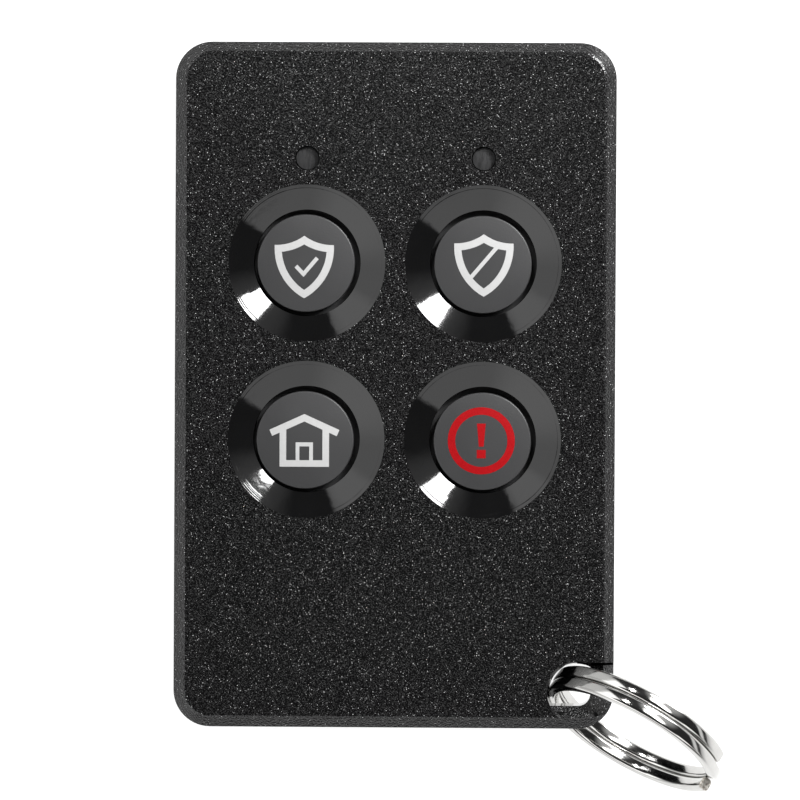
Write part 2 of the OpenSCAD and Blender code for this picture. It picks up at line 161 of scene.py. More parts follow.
room_light = dimmest + walls + panels + strip + halo + lip_band
back = room.node_tree.nodes["Background"]
back.inputs["Color"].default_value = (1, 1, 1, 1)
room_light.tree.links.new(room_light.socket, back.inputs["Strength"])


def lamp(name, reach, lean, turn, wide, high, energy):
    """A soft lamp aimed at the fob, leaning from the upright and turned about it in degrees."""
    lean, turn = math.radians(lean), math.radians(turn)
    to = Vector((math.sin(lean) * math.cos(turn), math.sin(lean) * math.sin(turn), math.cos(lean)))
    bpy.ops.object.light_add(type="AREA", location=to * reach)
    made = bpy.context.object
    made.name = name
    made.rotation_euler = to.to_track_quat("Z", "Y").to_euler()
    made.data.shape = "RECTANGLE"
    made.data.size = wide
    made.data.size_y = high
    made.data.energy = energy
    made.visible_camera = False


lamp("soft_box", reach=0.22, lean=47.9, turn=45.0, wide=0.054, high=0.054, energy=0.5)
lamp("spark_lamp", reach=0.15, lean=30, turn=95, wide=0.016, high=0.016, energy=0.018)

camera_lens, picture_w = 300, 0.06527
lean_right, lean_up = math.radians(1.5), math.radians(1.0)
camera_sees = Vector((0.455, -1.193, 11.0)) * 0.001
camera_lean = Vector((math.tan(lean_right), math.tan(lean_up), 1)).normalized()
camera_roll = math.radians(0.28)
bpy.ops.object.camera_add()
camera = bpy.context.object
camera.data.lens = camera_lens
camera.data.clip_start = 0.01
camera.data.clip_end = 20
camera_right = Vector((-math.sin(camera_roll), math.cos(camera_roll), 0)).cross(camera_lean).normalized()
camera_up = camera_lean.cross(camera_right)
camera_turn = Matrix((camera_right, camera_up, camera_lean)).transposed()
camera.location = camera_sees + camera_lean * (picture_w * camera_lens / camera.data.sensor_width)
camera.rotation_euler = camera_turn.to_euler()
bpy.context.scene.camera = camera
bpy.context.scene.view_settings.view_transform = "Standard"


# Rear cover: an injection-moulded black tray with a chamfered back, a bare label recess, sunk screw
# seats and its corner left out under the lug. A tongue along the seam locates it in the front cover.
case_w, case_l, case_corner = 36.0, 56.0, 3.0
seam, seam_groove = 6.5, 0.25
back_wall, side_wall, back_chamfer, rear_round = 1.2, 1.4, 1.0, 0.1
tongue_wall, tongue_h, tongue_gap = 0.7, 0.8, 1.1
lug_cut, corner_inset, corner_low = 6.8, 0.5, 0.6
pillar_r, seat_r, seat_h, screw_way_r = 2.7, 1.8, 1.6, 0.9
post_r, post_top, root = 1.0, 5.3, 0.4
label_half, label_low, label_high, label_deep, label_corner = 11, 5, 21, 0.25, 0.8
cut_low, cut_high, merge_gap, sharp_angle = -1, 12, 0.0005, 15
screw_places = [(-14.1, 24.1), (14.1, 24.1), (-14.1, -24.1)]
post_places = [(-14.2, 6.0), (14.2, 6.0), (-14.2, -12.0), (14.2, -12.0)]


def pick(piece):
    """Makes a piece the active one and the only one selected."""
    bpy.ops.object.select_all(action="DESELECT")
    bpy.context.view_layer.objects.active = piece
    piece.select_set(True)


def settle():
    """Puts the active piece's place, turn and size into its mesh."""
    bpy.ops.object.transform_apply(location=True, rotation=True, scale=True)


def select_parts(piece, kind, wanted):
    """Opens a piece in edit mode with only the wanted edges or faces selected."""
    pick(piece)
    bpy.ops.object.mode_set(mode="EDIT")
    bpy.ops.mesh.select_mode(type=kind)
    bpy.ops.mesh.select_all(action="DESELECT")
    bpy.ops.object.mode_set(mode="OBJECT")
    points = piece.data.vertices
    if kind == "EDGE":
        for edge in piece.data.edges:
            edge.select = wanted(*(points[i].co for i in edge.vertices))
    else:
        for face in piece.data.polygons:
            face.select = wanted(face)
    bpy.ops.object.mode_set(mode="EDIT")


def close_edit():
    bpy.ops.object.mode_set(mode="OBJECT")


def bevel_edges(piece, wanted, width, segments):
    """Bevels the wanted edges of a piece."""
    select_parts(piece, "EDGE", wanted)
    bpy.ops.mesh.bevel(offset=width, segments=segments, affect="EDGES")
    close_edit()


def upright(a, b):
    """Tells an edge that rises from one that lies flat."""
    return abs(a.z - b.z) > 0.1


def faces_up(face):
    return face.normal.z > 0.9


def faces_down(face):
    return face.normal.z < -0.9


def block(name, low, high):
    """A cube between two corners, in millimetres."""
    bpy.ops.object.select_all(action="DESELECT")
    middle = [(a + b) / 2 for a, b in zip(low, high)]
    bpy.ops.mesh.primitive_cube_add(size=1, location=middle, scale=[b - a for a, b in zip(low, high)])
    settle()
    bpy.context.object.name = name
    return bpy.context.object


def peg(name, at, radius, low, high, top_radius=None, sides=96):
    """An upright round peg or cone, in millimetres."""
    bpy.ops.object.select_all(action="DESELECT")
    bpy.ops.mesh.primitive_cone_add(vertices=sides, radius1=radius, radius2=top_radius or radius,
                                    depth=high - low, location=(at[0], at[1], (low + high) / 2))
    settle()
    bpy.context.object.name = name
    return bpy.context.object


def case_slab(name, low, high):
    """A block of the case's plan with its upright corners rounded."""
    slab = block(name, (-case_w / 2, -case_l / 2, low), (case_w / 2, case_l / 2, high))
    bevel_edges(slab, upright, case_corner, 14)
    return slab


def combine(piece, other, operation):
    """Cuts another block away from a piece, or joins it on, and removes the other block."""
    pick(piece)
    bpy.ops.object.modifier_add(type="BOOLEAN")
    change = piece.modifiers[-1]
    change.operation = operation
    change.solver = "EXACT"
    change.object = other
    bpy.ops.object.modifier_apply(modifier=change.name)
    bpy.data.objects.remove(other)


def step_face(inset, rise):
    """Draws the selected face in, then pushes it up or down, as in hand modelling."""
    bpy.ops.mesh.inset(thickness=inset, use_even_offset=True)
    bpy.ops.mesh.extrude_region_move(TRANSFORM_OT_translate={"value": (0, 0, rise)})


def merge_points(piece):
    """Joins the points that the cuts left almost on top of each other."""
    select_parts(piece, "FACE", lambda face: True)
    bpy.ops.mesh.remove_doubles(threshold=merge_gap)
    close_edit()


def soften_edges(piece, width, segments=2):
    """Rounds the sharp edges as a mould leaves them, and smooths the faces."""
    pick(piece)
    bpy.ops.object.shade_smooth()
    bpy.ops.object.modifier_add(type="BEVEL")
    bevel = piece.modifiers[-1]
    bevel.width = width
    bevel.segments = segments
    bevel.limit_method = "ANGLE"
    bevel.angle_limit = math.radians(sharp_angle)
    bevel.harden_normals = True
    bpy.ops.object.modifier_apply(modifier=bevel.name)


def real_size(piece, at=(0, 0)):
    """Brings a piece modelled in millimetres to metres, at its place in plan."""
    pick(piece)
    piece.scale = (0.001, 0.001, 0.001)
    piece.location = (at[0] * 0.001, at[1] * 0.001, 0)
    settle()


rear_shell = case_slab("rear_shell", 0, seam - seam_groove)
bevel_edges(rear_shell, lambda a, b: a.z < 0.01 and b.z < 0.01, back_chamfer, 1)
select_parts(rear_shell, "FACE", faces_up)
step_face(seam_groove, seam_groove)
step_face(tongue_wall - seam_groove, tongue_h)
step_face(side_wall - tongue_wall, back_wall - seam - tongue_h)
close_edit()
for at in screw_places:
    combine(rear_shell, peg("pillar", at, pillar_r, back_wall - root, seam, sides=48), "UNION")
for at in post_places:
    combine(rear_shell, peg("post", at, post_r, back_wall - root, post_top, sides=32), "UNION")
lug_x, lug_y = case_w / 2 - lug_cut, lug_cut - case_l / 2
combine(rear_shell, block("corner_wall", (lug_x - side_wall, -case_l / 2 + corner_inset, corner_low),
                          (case_w / 2 - corner_inset, lug_y + side_wall, seam)), "UNION")
combine(rear_shell, block("corner_cut", (lug_x, -case_l, cut_low), (case_w, lug_y, cut_high)), "DIFFERENCE")
combine(rear_shell, block("tongue_cut", (lug_x - tongue_gap, -case_l, seam),
                          (case_w, lug_y + tongue_gap, cut_high)), "DIFFERENCE")
for at in screw_places:
    combine(rear_shell, peg("screw_seat", at, seat_r, cut_low, seat_h, sides=48), "DIFFERENCE")
    combine(rear_shell, peg("screw_way", at, screw_way_r, 0, cut_high, sides=32), "DIFFERENCE")
label = block("label_recess", (-label_half, label_low, cut_low), (label_half, label_high, label_deep))
bevel_edges(label, upright, label_corner, 6)
combine(rear_shell, label, "DIFFERENCE")
merge_points(rear_shell)
soften_edges(rear_shell, rear_round)
real_size(rear_shell)

sparked_black_painted_glints, shader, place = start_material("sparked_black_painted_glints")
hills = place.node("TexNoise", Vector=place, Scale=6800.0, Detail=0.0)
fine = place.node("TexNoise", Vector=place, Scale=12500.0, Detail=0.0)
facets = place.node("TexVoronoi", Vector=place, Scale=11000.0)
luck = place.node("SeparateColor", Color=Value(facets.socket.node.outputs["Color"]))
mottle = place.node("TexNoise", Vector=place, Scale=160.0, Detail=2.0)
# Painted glints: pale specks and a faint grey grain in the base colour stand in for lamp light glinting off
# the spark-eroded grain; the hills bump is the real grain.
painted_bright_glints = (1 - facets.step(0.1, 0.5)) * luck ** 40 * 0.7
painted_glints = (1 - facets.step(0.05, 0.33)) * luck ** 8 + painted_bright_glints + fine.step(0.4, 0.8) * 0.028
feed(shader, Base_Color=painted_glints.tint((0.0015, 0.0015, 0.0016), (0.95, 0.95, 0.95)),
     Roughness=0.18 + mottle * 0.06,
     Normal=place.node("Bump", Strength=1.0, Distance=0.00003, Height=hills))
rear_shell.data.materials.append(sparked_black_painted_glints)
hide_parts("rear_cover")
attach(rear_shell, "case")


# Power: a coin cell lying on the back wall, a stamped strap under it for plus and a bent leaf on its
# cap for minus. Plated steel, as the CAD solids give it, with the grain of rolled and pressed sheet.
def finish_node(name, material):
    nodes[name].data.materials.clear()
    nodes[name].data.materials.append(material)


cell_plate, shader, place = start_material("cell_plate")
rolling = place.node("Mapping", Vector=place, Scale=(4000, 150, 4000))
rolled = place.node("TexNoise", Vector=rolling, Scale=1.0)
feed(shader, Metallic=1.0, Base_Color=rolled.tint((0.6, 0.6, 0.58), (0.78, 0.78, 0.76)),
     Roughness=0.22 + rolled * 0.2)
finish_node("coin_cell", cell_plate)

contact_plate, shader, place = start_material("contact_plate")
drawing = place.node("Mapping", Vector=place, Scale=(300, 6000, 6000))
drawn = place.node("TexNoise", Vector=drawing, Scale=1.0)
feed(shader, Metallic=1.0, Base_Color=drawn.tint((0.62, 0.6, 0.54), (0.8, 0.78, 0.72)),
     Roughness=0.28 + drawn * 0.18)
finish_node("battery_clip", contact_plate)
finish_node("battery_spring", contact_plate)


# Circuit board: green masked glass laminate trapped between the posts of the covers, with a chip, a
# crystal can, two rows of small parts, light chips and a plated loop aerial soldered on its face.
solder_mask, shader, place = start_material("solder_mask")
weave = place.node("TexWave", {"bands_direction": "DIAGONAL"}, Vector=place, Scale=900.0, Distortion=1.0)
patch = place.node("TexNoise", Vector=place, Scale=350.0, Detail=2.0)
feed(shader, Base_Color=(weave * 0.3 + patch * 0.7).tint((0.012, 0.09, 0.035), (0.03, 0.2, 0.08)),
     Roughness=0.3 + patch * 0.15, Normal=place.node("Bump", Strength=0.4, Distance=0.00002, Height=weave))
finish_node("circuit_board", solder_mask)

chip_resin, shader, place = start_material("chip_resin")
speck = place.node("TexNoise", Vector=place, Scale=9000.0)
feed(shader, Base_Color=speck.tint((0.012, 0.012, 0.013), (0.03, 0.03, 0.032)), Roughness=0.5 + speck * 0.2)
finish_node("radio_chip", chip_resin)

can_plate, shader, place = start_material("can_plate")
pressed = place.node("TexNoise", Vector=place, Scale=2500.0)
feed(shader, Metallic=1.0, Base_Color=pressed.tint((0.6, 0.59, 0.55), (0.75, 0.74, 0.7)),
     Roughness=0.25 + pressed * 0.15)
finish_node("crystal", can_plate)

fired_body, shader, place = start_material("fired_body")
fired = place.node("TexNoise", Vector=place, Scale=5000.0)
feed(shader, Base_Color=fired.tint((0.2, 0.13, 0.07), (0.34, 0.24, 0.15)), Roughness=0.4 + fired * 0.2)
finish_node("small_components", fired_body)

aerial_plate, shader, place = start_material("aerial_plate")
worn = place.node("TexNoise", Vector=place, Scale=2000.0)
feed(shader, Metallic=1.0, Base_Color=worn.tint((0.62, 0.44, 0.18), (0.8, 0.6, 0.3)),
     Roughness=0.25 + worn * 0.2)
finish_node("loop_antenna", aerial_plate)

light_resin, shader, place = start_material("light_resin")
milky = place.node("TexNoise", Vector=place, Scale=1500.0)
feed(shader, Base_Color=milky.tint((0.62, 0.6, 0.5), (0.8, 0.78, 0.7)), Roughness=0.2 + milky * 0.15)
finish_node("left_led", light_resin)
finish_node("right_led", light_resin)


# Switches: four low push switches under the keys, each a folded steel frame with a pale plastic
# plunger that sinks into it.
frame_plate, shader, place = start_material("frame_plate")
folding = place.node("Mapping", Vector=place, Scale=(200, 5000, 5000))
folded = place.node("TexNoise", Vector=folding, Scale=1.0)
feed(shader, Metallic=1.0, Base_Color=folded.tint((0.5, 0.5, 0.5), (0.68, 0.68, 0.69)),
     Roughness=0.3 + folded * 0.2)
plunger_white, shader, place = start_material("plunger_white")
flow = place.node("TexNoise", Vector=place, Scale=1200.0)
feed(shader, Base_Color=flow.tint((0.5, 0.48, 0.43), (0.58, 0.56, 0.5)), Roughness=0.45 + flow * 0.15)
for key in ("arm", "disarm", "home", "panic"):
    finish_node(key + "_switch", frame_plate)
    finish_node(key + "_plunger", plunger_white)


# Light pipes: two smoky clear rods pressed into the front cover from inside, their ends just below
# the face. Moulded acrylic with a faint crown and flow lines.
light_places = {"left": -7.2, "right": 7.2}
light_y = 18.5
pipe_r, pipe_low, pipe_top, pipe_round = 0.95, 7.0, 10.45, 0.06
pipe_rim, pipe_crown = 0.35, 0.05
pipe_collar_r, pipe_collar_low, pipe_collar_top = 1.6, 8.8, 9.6
smoked_clear, shader, place = start_material("smoked_clear")
flowing = place.node("Mapping", Vector=place, Scale=(5200, 900, 900))
flow = place.node("TexNoise", Vector=flowing, Scale=1.0)
feed(shader, Base_Color=flow.tint((0.018, 0.018, 0.0185), (0.06, 0.06, 0.061)),
     Roughness=0.22 + flow * 0.12)
for side, x in light_places.items():
    pipe = peg(side + "_lens", (x, light_y), pipe_r, pipe_low, pipe_top, sides=48)
    select_parts(pipe, "FACE", faces_up)
    bpy.ops.mesh.inset(thickness=pipe_rim)
    bpy.ops.transform.translate(value=(0, 0, pipe_crown))
    close_edit()
    pipe_collar = peg("pipe_collar", (x, light_y), pipe_collar_r, pipe_collar_low, pipe_collar_top,
                      sides=48)
    combine(pipe, pipe_collar, "UNION")
    soften_edges(pipe, pipe_round, 3)
    real_size(pipe)
    pipe.data.materials.append(smoked_clear)
    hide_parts(side + "_light_pipe")
    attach(pipe, "case")


# Front cover: one black moulding with a chamfered rim, four polished dishes round the key wells, two
# light holes and the lug at one corner. Its face has the bumped grain of a spark-eroded mould, its
# sparkle partly painted into the colour as glints.
face_z, face_wall, rim_chamfer, rim_edge = 11.0, 1.4, 0.85, 0.1
rabbet_w, rabbet_play = 0.6, 0.1
key_places = {"arm": (-7.2, 9.96), "disarm": (7.2, 9.96), "home": (-7.2, -4.44), "panic": (7.2, -4.44)}
well_r, dish_r, dish_depth, dish_over, dish_hollow = 4.36, 6.42, 0.9, 0.4, 0.993
key_stop, boss_r, press_post_low, root_z = 8.65, 2.2, 6.1, 9.8
pilot_r, pilot_top, light_hole_r, clear_z = 0.85, 9.1, 1.0, face_z + 1
lug_at = (case_w / 2 - case_corner, case_corner - case_l / 2)
lug_inset, lug_lap, lug_under, lug_front_low = 0.4, 1, 0.5, -20
pocket_r, pocket_low, mouth_r, mouth_h, mouth_draft = 2.75, 4, 2.44, 1.9, 0.095
mouth_low, mouth_top, mouth_edge = 5, 13, lug_at[1] + mouth_r
lug_side, lug_end, lug_slope = 1.9, 1.9, 1.6
relief_end, relief_top = 1.6, 7.4
stop_x, stop_y, stop_low, stop_top, stop_corner = 8, -18, 3, 14, 1.0
rim_in, rim_out, rim_deep, rim_over, rim_side = 0.1, 0.2, 0.2, 0.1, (-0.87, 0.5, 0)
run_from, run_half = 0.9, 0.15
line_from, line_w, line_low = 1.2, 0.28, 8.6


def at_face(a, b):
    """Tells an edge that lies in the plane of the face."""
    return min(a.z, b.z) > face_z - 0.01


def mouth_cone(name, low):
    """A cutter for the mouth of the lug hole, widening upwards by its draft."""
    low_r = mouth_r - (face_z - low) * mouth_draft
    top_r = mouth_r + (mouth_top - face_z) * mouth_draft
    return peg(name, lug_at, low_r, low, mouth_top, top_r, sides=128)


front_shell = case_slab("front_shell", seam, face_z)
for width in (rim_chamfer, rim_edge):
    bevel_edges(front_shell, at_face, width, 1)
select_parts(front_shell, "FACE", faces_down)
step_face(rabbet_w, tongue_h + rabbet_play)
step_face(side_wall - rabbet_w, face_z - face_wall - seam - tongue_h - rabbet_play)
close_edit()
lug_block = block("lug_block", (lug_x - lug_lap, -case_l / 2 + lug_inset, seam),
                  (case_w / 2 - lug_inset, lug_y + lug_lap, face_z - lug_under))
bevel_edges(lug_block, lambda a, b: upright(a, b) and a.x > lug_at[0] and a.y < lug_at[1],
            case_corner - lug_inset, 14)
combine(front_shell, lug_block, "UNION")
for at in key_places.values():
    combine(front_shell, peg("collar", at, dish_r, key_stop, root_z), "UNION")
for at in screw_places:
    combine(front_shell, peg("boss", at, boss_r, seam, root_z, sides=48), "UNION")
for at in post_places:
    combine(front_shell, peg("post", at, post_r, press_post_low, root_z, sides=32), "UNION")
dish_top_r = well_r + (dish_r - well_r) * (1 + dish_over / dish_depth)
for at in key_places.values():
    dish = peg("dish", at, well_r, face_z - dish_depth, face_z + dish_over, dish_top_r, sides=128)
    select_parts(dish, "FACE", lambda face: True)
    bpy.ops.mesh.bisect(plane_co=(0, 0, face_z - dish_depth / 2), plane_no=(0, 0, 1))
    bpy.ops.transform.resize(value=(dish_hollow, dish_hollow, 1), center_override=(*at, 0))
    close_edit()
    combine(front_shell, dish, "DIFFERENCE")
    combine(front_shell, peg("well", at, well_r, seam, clear_z, sides=128), "DIFFERENCE")
for x in light_places.values():
    light_hole = peg("light_hole", (x, light_y), light_hole_r, seam, clear_z, sides=64)
    combine(front_shell, light_hole, "DIFFERENCE")
for at in screw_places:
    combine(front_shell, peg("pilot", at, pilot_r, 0, pilot_top, sides=32), "DIFFERENCE")
pocket_rim = peg("pocket_rim", lug_at, mouth_r - rim_in, face_z - rim_deep, face_z + rim_over,
                 mouth_r + rim_out, sides=110)
select_parts(pocket_rim, "FACE", lambda face: True)
bpy.ops.mesh.bisect(plane_co=(*lug_at, 0), plane_no=rim_side, use_fill=True, clear_inner=True)
close_edit()
combine(front_shell, pocket_rim, "DIFFERENCE")
rim_run = block("rim_run", (lug_at[0] + run_from, -run_half, -run_half), (case_w, run_half, run_half))
rim_run.rotation_euler = (math.radians(45), 0, 0)
rim_run.location = (0, mouth_edge, face_z)
settle()
combine(front_shell, rim_run, "DIFFERENCE")
lug_hole = peg("lug_hole", lug_at, pocket_r, pocket_low, face_z - mouth_h, sides=128)
combine(lug_hole, mouth_cone("mouth", mouth_low), "UNION")
hole_stop = block("hole_stop", (stop_x, -case_l / 2 + lug_end, stop_low),
                  (case_w / 2 - lug_side, stop_y, stop_top))
bevel_edges(hole_stop, upright, stop_corner, 10)
combine(hole_stop, block("hole_relief", (stop_x, -case_l / 2 + relief_end, stop_low),
                         (case_w / 2 - lug_side, stop_y, relief_top)), "UNION")
combine(lug_hole, hole_stop, "INTERSECT")
combine(front_shell, lug_hole, "DIFFERENCE")
lug_scoop = mouth_cone("lug_scoop", seam)
combine(lug_scoop, block("scoop_run", (lug_at[0], lug_at[1] - mouth_r, seam),
                         (case_w, mouth_edge, mouth_top)), "UNION")
lug_front = case_slab("lug_front", lug_front_low, face_z)
bevel_edges(lug_front, at_face, rim_chamfer, 1)
lean_at = Vector((0, rim_chamfer - case_l / 2, face_z))
lug_front.rotation_euler = (-math.atan2(lug_slope, mouth_edge - lean_at.y), 0, 0)
lug_front.location = lean_at - lug_front.rotation_euler.to_matrix() @ lean_at
settle()
combine(lug_scoop, lug_front, "DIFFERENCE")
combine(front_shell, lug_scoop, "DIFFERENCE")
lug_line = block("lug_line", (lug_at[0] + line_from, mouth_edge - line_w, line_low),
                 (case_w, mouth_edge, mouth_top))
combine(front_shell, lug_line, "DIFFERENCE")
merge_points(front_shell)
bpy.ops.object.shade_smooth_by_angle(angle=math.radians(sharp_angle))

key_off, keys_middle, lip_from, lip_to = 0.0072, 0.00276, 0.0058, 0.0061
polished_black, shader, place = start_material("polished_black")
ripple = place.node("TexNoise", Vector=place, Scale=420.0, Detail=2.0)
polish_lines = place.node("TexNoise", Vector=place, Scale=2600.0, Detail=1.0)
apart = place.node("SeparateXYZ", Vector=place).socket.node
off_x = place.sum("ABSOLUTE", Value(apart.outputs["X"]), 0) - key_off
off_y = place.sum("ABSOLUTE", Value(apart.outputs["Y"]) - keys_middle, 0) - key_off
from_key = (off_x * off_x + off_y * off_y) ** 0.5
turned = place.node("TexNoise", {"noise_dimensions": "1D"}, W=from_key, Scale=9000.0, Detail=1.0)
feed(shader, Base_Color=ripple.tint((0.0035, 0.0035, 0.0036), (0.005, 0.005, 0.0052)),
     Roughness=0.04 + ripple * 0.06,
     Normal=place.node("Bump", Strength=1.0, Distance=0.00002, Height=ripple + polish_lines * 0.1
                       + turned * from_key.step(lip_from, lip_to) * 0.25))
# Painted shade: the well walls and the lug's slot line get a near-black, barely reflecting finish, so these
# gaps read as black shade.
painted_shade_black, shader, place = start_material("painted_shade_black")
dull = place.node("TexNoise", Vector=place, Scale=3000.0)
feed(shader, Base_Color=dull.tint((0.001, 0.001, 0.001), (0.002, 0.002, 0.002)), Roughness=0.6 + dull * 0.2,
     Specular_IOR_Level=0.05)
front_shell.data.materials.append(sparked_black_painted_glints)
front_shell.data.materials.append(polished_black)
front_shell.data.materials.append(painted_shade_black)


def all_within(face, at, radius):
    return all(math.dist(front_shell.data.vertices[i].co.xy, at) < radius for i in face.vertices)


edge_slack, lip_slack, seam_slack, flat_up = 0.01, 0.2, 0.05, 0.93
polished, unlit = 1, 2
for face in front_shell.data.polygons:
    in_dish = any(all_within(face, at, dish_r + lip_slack) for at in key_places.values())
    in_well = any(all_within(face, at, well_r + 2 * edge_slack) for at in key_places.values())
    in_light = any(all_within(face, (x, light_y), light_hole_r + edge_slack) for x in light_places.values())
    in_hole = all_within(face, lug_at, pocket_r + edge_slack) and abs(face.normal.z) < flat_up
    spots = [front_shell.data.vertices[i].co.y for i in face.vertices]
    beside_run = mouth_edge - line_w - edge_slack < min(spots) and max(spots) < mouth_edge + edge_slack
    in_line = beside_run and face.center.x > lug_at[0]
    if in_well or in_line:
        face.material_index = unlit
    elif face.center.z > seam + seam_slack and (in_dish or in_light or in_hole):
        face.material_index = polished
real_size(front_shell)
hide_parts("front_cover")
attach(front_shell, "case")


# Keys: four loose satin caps with a keyed flange under the cover and a stem on the switch. Each is
# moulded in dark grey, with a rounded rim and a sign printed on its top.
cap_r, cap_top, cap_low, cap_rim = 3.985, 10.5, 10.28, 0.12
flange_r, flange_low, flange_top, stem_r, stem_h = 5.16, 8.0, 8.6, 1.6, 0.4
tab_half, tab_far, tab_near = 0.8, 6.06, 2.5
crown_r, crown_steps, cap_sharp = cap_r - cap_rim, 10, 35
cap = peg("arm_cap", (0, 0), flange_r, flange_low, flange_top)
select_parts(cap, "FACE", faces_up)
step_face(flange_r - cap_r, cap_low - flange_top)
close_edit()
bevel_edges(cap, lambda a, b: min(a.z, b.z) > cap_low - 0.01, cap_rim, 6)
select_parts(cap, "FACE", lambda face: len(face.vertices) > 4 and face.center.z > cap_low - 0.01)
for count in range(crown_steps):
    bpy.ops.mesh.inset(thickness=crown_r / (crown_steps + 1))
    crown_rise = (cap_top - cap_low) * (2 * crown_steps - 1 - 2 * count) / crown_steps ** 2
    bpy.ops.transform.translate(value=(0, 0, crown_rise))
close_edit()
select_parts(cap, "FACE", faces_down)
step_face(flange_r - stem_r, -stem_h)
close_edit()
combine(cap, block("tab", (-tab_half, -tab_far, flange_low), (tab_half, -tab_near, flange_top)), "UNION")
bpy.ops.object.shade_smooth_by_angle(angle=math.radians(cap_sharp))

key_satin, shader, place = start_material("key_satin")
satin = place.node("TexNoise", Vector=place, Scale=7000.0, Detail=1.0)
handled = place.node("TexNoise", Vector=place, Scale=260.0, Detail=3.0)
feed(shader, Base_Color=handled.tint((0.034, 0.034, 0.035), (0.044, 0.044, 0.045)),
     Roughness=0.38 + handled * 0.1,
     Normal=place.node("Bump", Strength=0.5, Distance=0.00001, Height=satin))
cap.data.materials.append(key_satin)
crown = cap.data.copy()
caps = {"arm": cap}
for key in ("disarm", "home", "panic"):
    caps[key] = cap.copy()
    caps[key].data = cap.data.copy()
    caps[key].name = key + "_cap"
    bpy.context.collection.objects.link(caps[key])
cap_play = {"arm": (-0.09, -0.02), "disarm": (-0.045, -0.075),
            "home": (-0.115, -0.07), "panic": (-0.03, -0.115)}
for key, piece in caps.items():
    real_size(piece, [a + b for a, b in zip(key_places[key], cap_play[key])])
    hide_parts(key + "_button")
    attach(piece, key + "_key")


# Key signs: a shield with a tick, a shield with a slash, a house and a ringed mark, pad printed in a
# thin film of white or red ink that rides with its key.
sign_over, ink_thick = 0.3, 0.012
sign_low, sign_top = cap_low - sign_over, cap_top + sign_over
sign_line, fine_line = 0.585, 0.32
side_x, side_y, side_r = 2.211, 1.099, 4.634
brow_x, brow_y, brow_r = 2.291, 5.221, 3.846


def bar(name, start, end, width):
    """A straight stroke of ink from point to point."""
    length = math.dist(start, end)
    made = block(name, (-length / 2, -width / 2, sign_low), (length / 2, width / 2, sign_top))
    made.rotation_euler = (0, 0, math.atan2(end[1] - start[1], end[0] - start[0]))
    made.location = ((start[0] + end[0]) / 2, (start[1] + end[1]) / 2, 0)
    settle()
    return made


def shield_blank(name, inset, low, high):
    """A shield with bowed sides and a hollow brow, drawn in evenly by the inset."""
    made = peg(name, (side_x, side_y), side_r - inset, low, high, sides=180)
    combine(made, peg("side", (-side_x, side_y), side_r - inset, low - 1, high + 1, sides=180), "INTERSECT")
    for x in (-brow_x, brow_x):
        combine(made, peg("brow", (x, brow_y), brow_r + inset, low - 1, high + 1, sides=180), "DIFFERENCE")
    return made


def shield(name):
    made = shield_blank(name, 0, sign_low, sign_top)
    combine(made, shield_blank("field", sign_line, sign_low - 0.5, sign_top + 0.5), "DIFFERENCE")
    return made


arm_sign = shield("arm_sign")
tick = bar("tick", (-0.672, -0.347), (0.058, -1.11), fine_line)
combine(tick, bar("tick_long", (-0.156, -1.116), (1.066, 0.324), fine_line), "UNION")
combine(arm_sign, tick, "UNION")
disarm_sign = shield("disarm_sign")
combine(disarm_sign, bar("slash", (1.06, 1.06), (-1.12, -1.49), fine_line), "UNION")

home_sign = block("home_sign", (-2.023, -2.337, sign_low), (2.023, 0.9, sign_top))
combine(home_sign, block("room", (-1.48, -1.8, sign_low - 1), (1.48, 2, sign_top + 1)), "DIFFERENCE")
door = block("door", (-0.706, -2.0, sign_low), (0.706, -0.341, sign_top))
combine(door, block("doorway", (-0.402, -3, sign_low - 1), (0.402, -0.669, sign_top + 1)), "DIFFERENCE")
combine(home_sign, door, "UNION")
roof_half, roof_low, roof_high, roof_rise, eave_in, eave_up = 2.86, 0.072, 0.68, 1.292, 0.22, 0.1
roof = block("roof", (-roof_half, roof_low, sign_low), (roof_half, roof_high, sign_top))
select_parts(roof, "FACE", lambda face: True)
bpy.ops.mesh.bisect(plane_co=(0, 0, 0), plane_no=(1, 0, 0))
close_edit()
select_parts(roof, "EDGE", lambda a, b: max(abs(a.x), abs(b.x)) < 0.01)
bpy.ops.transform.translate(value=(0, roof_rise, 0))
close_edit()
for side in (-1, 1):
    select_parts(roof, "EDGE", lambda a, b: min(a.x * side, b.x * side) > 2.8 and max(a.y, b.y) < 0.1)
    bpy.ops.transform.translate(value=(-eave_in * side, eave_up, 0))
    close_edit()
combine(home_sign, roof, "UNION")

ring_out, ring_in, mark_taper = 2.74, 2.13, 0.55
panic_sign = peg("panic_sign", (0, 0), ring_out, sign_low, sign_top, sides=128)
combine(panic_sign, peg("inside", (0, 0), ring_in, sign_low - 1, sign_top + 1, sides=128), "DIFFERENCE")
mark = block("mark", (-0.36, -0.475, sign_low), (0.36, 1.414, sign_top))
select_parts(mark, "EDGE", lambda a, b: max(a.y, b.y) < 0)
bpy.ops.transform.resize(value=(mark_taper, 1, 1), center_override=(0, 0, 0))
close_edit()
combine(panic_sign, mark, "UNION")
combine(panic_sign, block("dot", (-0.365, -1.43, sign_low), (0.365, -0.737, sign_top)), "UNION")

